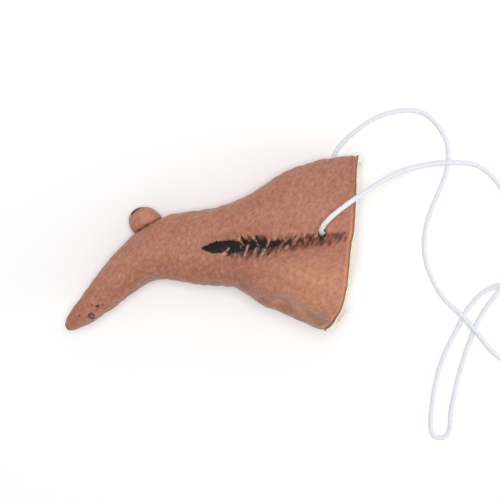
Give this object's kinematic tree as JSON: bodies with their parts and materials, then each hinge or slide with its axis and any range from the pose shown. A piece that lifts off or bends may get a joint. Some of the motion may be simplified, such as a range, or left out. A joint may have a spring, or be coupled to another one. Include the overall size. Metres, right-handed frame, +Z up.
{
  "type": "costume nose",
  "caption": "Hollow moulded latex witch nose with a wart and black creases, worn over the wearer's own nose on a thin round elastic cord knotted inside its side holes.",
  "frame": {"origin": "centre of the bottom of the nose's box, on the surface that it lies on", "axes": "+X from the nose's tip towards its open face side, +Y towards the bridge, +Z up from the surface that it lies on, through its far side to its near side"},
  "size_m": [0.1575, 0.1111, 0.0378],
  "materials": {
    "latex": "satin airbrushed skin outside, pale cream bare latex inside",
    "elastic": "matt braided"
  },
  "bodies": {
    "root": {"nose_shell": "latex", "elastic_cord": "elastic", "knot_near": "elastic", "knot_far": "elastic"}
  },
  "joints": []
}
